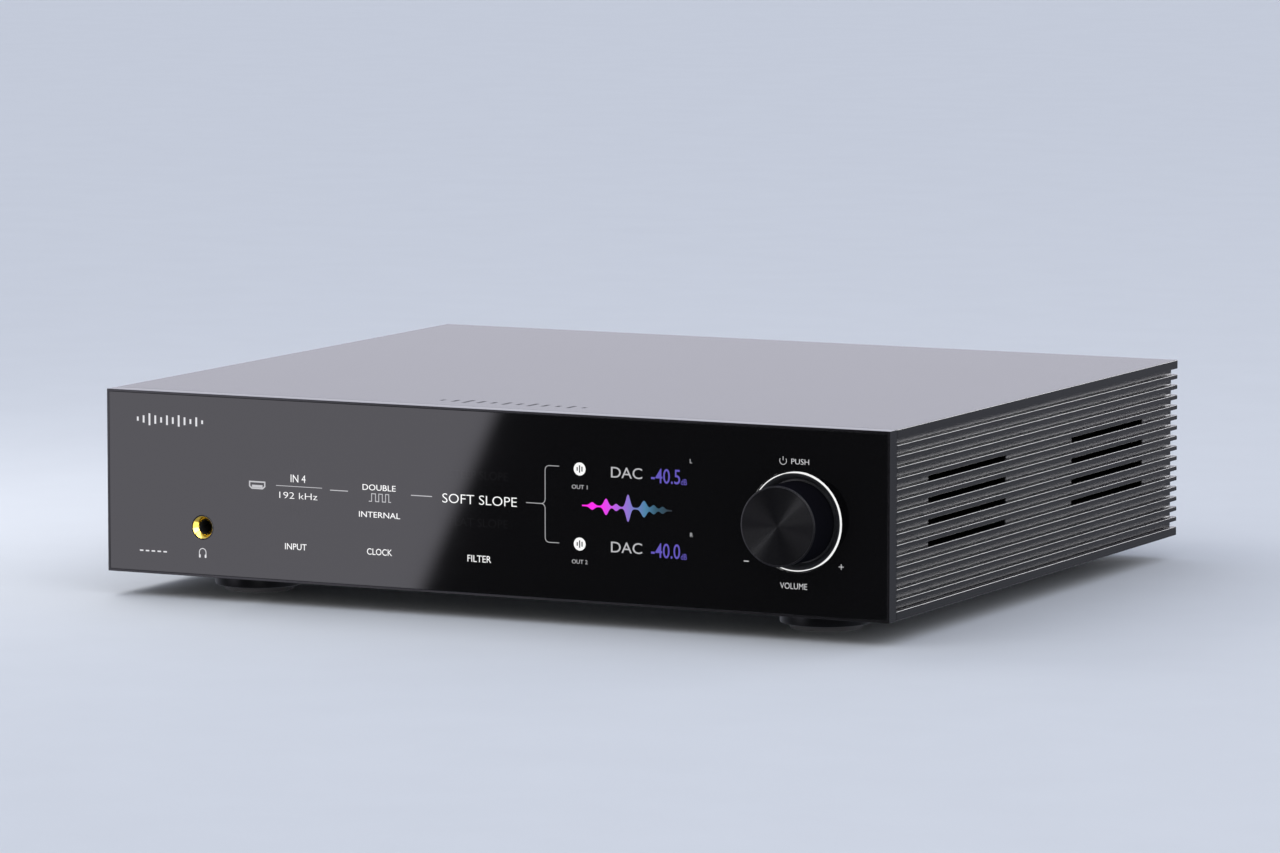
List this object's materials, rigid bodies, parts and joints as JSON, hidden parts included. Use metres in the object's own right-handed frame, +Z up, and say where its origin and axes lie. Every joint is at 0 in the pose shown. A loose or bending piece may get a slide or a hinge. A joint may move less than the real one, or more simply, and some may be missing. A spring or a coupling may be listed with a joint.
{
  "type": "desktop digital-to-analogue converter",
  "caption": "Full-width desktop audio converter: black glass front with display, push-and-turn knob in a lit ring, headphone socket, finned vented sides, round feet and a rear connector panel",
  "frame": {"origin": "on the surface it stands on, under the middle of the whole part's box", "axes": "+X to the viewer's right when facing the front, +Y from the front towards the rear connectors, +Z up"},
  "size_m": [0.43, 0.398, 0.104],
  "materials": {
    "case_metal": "fine bead-blasted black anodised aluminium, bright at a grazing angle",
    "turned_black": "turned black anodised aluminium with fine concentric tool marks",
    "foot_rubber": "matt black rubber",
    "black_glass": "polished black glass, opaque but for the display area",
    "display": "dark display behind the glass with lit white and violet signs",
    "light_guide": "translucent white light guide, lit",
    "gold": "gold plated, polished",
    "nickel": "satin nickel plate",
    "steel": "plain zinc plated steel",
    "black_plastic": "moulded black nylon",
    "circuit_board": "solder mask over copper tracks",
    "winding": "enamelled copper under clear tape",
    "capacitor_sleeve": "shrunk plastic sleeve over an aluminium can",
    "flat_cable": "grey ribbed flat cable"
  },
  "bodies": {
    "case": {"top_cover": "case_metal", "bottom_plate": "case_metal", "left_side_panel": "case_metal", "right_side_panel": "case_metal", "rear_panel": "case_metal", "fascia_frame": "case_metal", "knob_dish": "turned_black", "front_left_foot": "turned_black", "front_right_foot": "turned_black", "rear_left_foot": "turned_black", "rear_right_foot": "turned_black", "front_left_foot_pad": "foot_rubber", "front_right_foot_pad": "foot_rubber", "rear_left_foot_pad": "foot_rubber", "rear_right_foot_pad": "foot_rubber", "front_glass": "black_glass", "display_panel": "display", "light_ring": "light_guide", "headphone_collar": "gold", "coaxial_input_1": "gold", "coaxial_input_2": "gold", "phono_output_left": "gold", "phono_output_right": "gold", "encoder_nut": "nickel", "clock_input": "nickel", "digital_xlr_input": "nickel", "xlr_output_left": "nickel", "xlr_output_right": "nickel", "clock_module": "nickel", "usb_receiver_can": "nickel", "encoder_body": "steel", "usb_input": "steel", "link_input": "steel", "transformer_clamp": "steel", "shield_wall": "steel", "headphone_socket": "black_plastic", "mains_inlet": "black_plastic", "rocker_housing": "black_plastic", "optical_input_1": "black_plastic", "optical_input_2": "black_plastic", "front_board": "circuit_board", "power_board": "circuit_board", "main_board": "circuit_board", "dac_board": "circuit_board", "toroidal_transformer": "winding", "reservoir_capacitor_1": "capacitor_sleeve", "reservoir_capacitor_2": "capacitor_sleeve", "reservoir_capacitor_3": "capacitor_sleeve", "reservoir_capacitor_4": "capacitor_sleeve", "ribbon_cable": "flat_cable"},
    "plunger": {"encoder_plunger": "black_plastic"},
    "knob": {"volume_knob": "turned_black", "encoder_shaft": "steel"},
    "rocker": {"power_rocker": "black_plastic"},
    "drawer": {"fuse_drawer": "black_plastic"},
    "latch": {"xlr_latch_tab": "nickel"},
    "shutter_1": {"optical_shutter_1": "black_plastic"},
    "shutter_2": {"optical_shutter_2": "black_plastic"}
  },
  "joints": [
    {"name": "knob_push", "type": "slide", "parent": "case", "child": "plunger", "axis": [0, 1, 0], "range_m": [0, 0.0006], "stiffness_N_per_m": 5000},
    {"name": "knob_turn", "type": "hinge", "parent": "plunger", "child": "knob", "pos_m": [0.1655, -0.179, 0.058], "axis": [0, 1, 0], "continuous": true},
    {"name": "rocker_tilt", "type": "hinge", "parent": "case", "child": "rocker", "pos_m": [-0.135, 0.184, 0.058], "axis": [1, 0, 0], "range_deg": [0, 20]},
    {"name": "fuse_drawer_slide", "type": "slide", "parent": "case", "child": "drawer", "axis": [0, 1, 0], "range_m": [0, 0.015]},
    {"name": "latch_press", "type": "slide", "parent": "case", "child": "latch", "axis": [0, 0, -1], "range_m": [0, 0.0015], "stiffness_N_per_m": 400},
    {"name": "shutter_1_open", "type": "hinge", "parent": "case", "child": "shutter_1", "pos_m": [-0.056, 0.187, 0.04475], "axis": [-1, 0, 0], "range_deg": [0, 80], "stiffness_Nm_per_rad": 0.0001},
    {"name": "shutter_2_open", "type": "hinge", "parent": "case", "child": "shutter_2", "pos_m": [-0.056, 0.187, 0.07875], "axis": [-1, 0, 0], "range_deg": [0, 80], "stiffness_Nm_per_rad": 0.0001}
  ]
}
